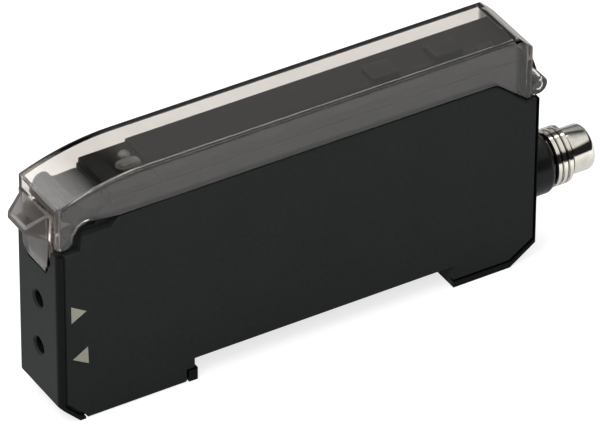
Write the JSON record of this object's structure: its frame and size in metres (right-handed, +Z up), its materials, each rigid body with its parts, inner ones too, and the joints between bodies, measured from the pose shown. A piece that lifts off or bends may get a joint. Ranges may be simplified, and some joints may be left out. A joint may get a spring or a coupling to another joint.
{
  "type": "fibre optic sensor amplifier",
  "caption": "Slim black rail-mounted amplifier with a clear flip lid over its keys, stacked fibre ports in the front face and a round threaded plug at the back.",
  "frame": {"origin": "middle of the base, level with the feet, half way between the finger scoop's tip and the plug's end", "axes": "+X from the fibre ports towards the plug, +Y towards the plain far side, +Z up towards the lid"},
  "size_m": [0.0852, 0.0108, 0.036],
  "materials": {
    "housing": "fine satin moulding",
    "cover": "fine satin moulding",
    "clear_lid": "clear smoky plastic, polished",
    "deck": "satin",
    "key": "satin",
    "lens": "milky, polished",
    "grip": "plain",
    "emitter": "clear tinted resin",
    "receiver": "dark tinted resin",
    "board": "solder mask",
    "chip": "moulded",
    "boss": "satin",
    "seal": "plain",
    "nickel": "nickel plate, turned",
    "contact": "gold plate",
    "steel": "bright wire"
  },
  "bodies": {
    "body": {"frame": "housing", "side_cover": "cover", "hinge_pin": "steel", "deck": "deck", "clamp_axle": "steel", "clamp_spring": "steel", "fibre_block": "deck", "emitter": "emitter", "receiver": "receiver", "main_board": "board", "board_chips": "chip", "key_board": "board", "board_header": "chip", "tact_switches": "steel", "indicator_leds": "lens", "power_lens": "lens", "output_lens": "lens", "set_lens": "lens", "mode_lens": "lens", "plug_boss": "boss", "plug_nut": "steel", "plug_seal": "seal", "plug_shell": "nickel", "pin_carrier": "boss", "contact_pins": "contact", "latch_spring": "steel"},
    "lid": {"lid": "clear_lid"},
    "lever": {"clamp_lever": "deck"},
    "gripper": {"clamp_slide": "grip"},
    "set_key": {"set_button": "key"},
    "mode_key": {"mode_button": "key"},
    "latch": {"rail_latch": "deck"}
  },
  "joints": [
    {"name": "lid_hinge", "type": "hinge", "parent": "body", "child": "lid", "pos_m": [0.0319, 0, 0.02765], "axis": [0, 1, 0], "range_deg": [0, 110]},
    {"name": "clamp_press", "type": "hinge", "parent": "body", "child": "lever", "pos_m": [-0.0326, 0, 0.0304], "axis": [0, -1, 0], "range_deg": [0, 9]},
    {"name": "gripper_slide", "type": "slide", "parent": "body", "child": "gripper", "axis": [0, 0, -1], "range_m": [0, 0.00042], "stiffness_N_per_m": 200, "deforming": ["clamp_spring"]},
    {"name": "set_press", "type": "slide", "parent": "body", "child": "set_key", "axis": [0, 0, -1], "range_m": [0, 0.0003], "stiffness_N_per_m": 200},
    {"name": "mode_press", "type": "slide", "parent": "body", "child": "mode_key", "axis": [0, 0, -1], "range_m": [0, 0.0003], "stiffness_N_per_m": 200},
    {"name": "latch_slide", "type": "slide", "parent": "body", "child": "latch", "axis": [1, 0, 0], "range_m": [0, 0.0016], "stiffness_N_per_m": 200, "deforming": ["latch_spring"]}
  ],
  "couplings": [
    {"joint": "clamp_press", "follows": "gripper_slide", "rad_per_m": 303}
  ]
}
